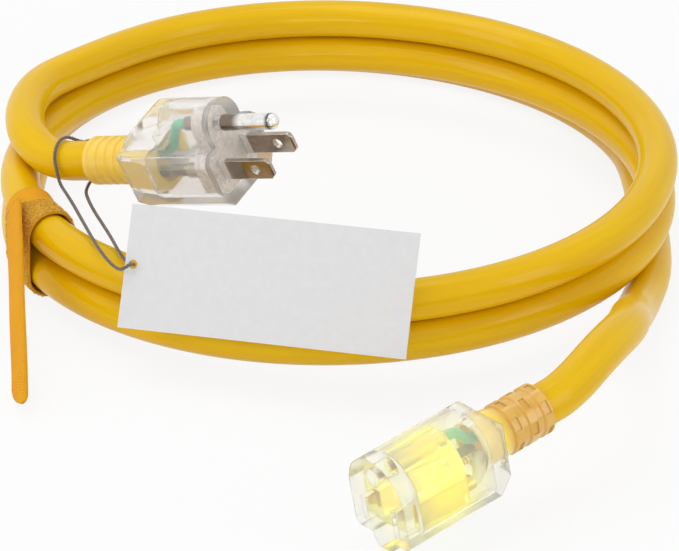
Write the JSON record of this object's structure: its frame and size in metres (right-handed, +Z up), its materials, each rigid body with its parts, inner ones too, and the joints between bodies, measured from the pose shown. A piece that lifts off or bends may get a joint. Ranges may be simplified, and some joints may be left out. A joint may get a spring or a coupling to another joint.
{
  "type": "extension cord",
  "caption": "Coiled three-wire extension cord with a clear moulded plug, a clear lighted connector, a fabric strap and a hanging card tag.",
  "frame": {"origin": "middle of the coil, on the table it lies on", "axes": "+Z up from the table; the tag and the connector are on the -Y side, the plug on the -X side"},
  "size_m": [0.2077, 0.3302, 0.0698],
  "materials": {
    "clear_vinyl": "clear moulded vinyl, slightly warm, glossy",
    "amber_boot": "translucent yellow vinyl, ribbed",
    "carrier_plastic": "translucent moulded insert",
    "plated_blade": "nickel-plated brass",
    "contact_brass": "formed brass strip",
    "black_wire": "black insulation",
    "white_wire": "white insulation",
    "green_wire": "green insulation",
    "lamp_lens": "lit yellow lamp",
    "resistor_body": "tan resistor body",
    "lead_wire": "tinned wire",
    "yellow_cord": "glossy yellow vinyl jacket",
    "strap_fabric": "orange hook and loop fabric",
    "tag_card": "smooth pale grey card",
    "tag_twine": "grey-brown twisted twine"
  },
  "bodies": {
    "root": {"plug_housing": "clear_vinyl", "connector_housing": "clear_vinyl", "plug_strain_relief": "amber_boot", "connector_strain_relief": "amber_boot", "plug_blade_carrier": "carrier_plastic", "connector_contact_carrier": "carrier_plastic", "plug_blade_line": "plated_blade", "plug_blade_neutral": "plated_blade", "plug_ground_pin": "plated_blade", "connector_contact_line": "contact_brass", "connector_contact_neutral": "contact_brass", "connector_contact_ground": "contact_brass", "plug_wire_line": "black_wire", "plug_wire_neutral": "white_wire", "plug_wire_ground": "green_wire", "connector_wire_line": "black_wire", "connector_wire_neutral": "white_wire", "connector_wire_ground": "green_wire", "indicator_lamp": "lamp_lens", "indicator_resistor": "resistor_body", "indicator_leads": "lead_wire", "cord_coil": "yellow_cord", "cord_plug_lead": "yellow_cord", "cord_connector_lead": "yellow_cord", "strap_wrap": "strap_fabric", "tag_string": "tag_twine", "string_knot": "tag_twine"},
    "hang_tag": {"hang_tag": "tag_card"},
    "strap_free_end": {"strap_tail": "strap_fabric"}
  },
  "joints": [
    {"name": "tag_swing", "type": "hinge", "parent": "root", "child": "hang_tag", "pos_m": [-0.05702, -0.08965, 0.03182], "axis": [-0.0836, -0.4941, -0.8654], "range_deg": [0, 40]},
    {"name": "strap_peel", "type": "hinge", "parent": "root", "child": "strap_free_end", "pos_m": [-0.0958, -0.0415, 0.0259], "axis": [-0.43, 0.1989, -0.8806], "range_deg": [0, 60]}
  ]
}
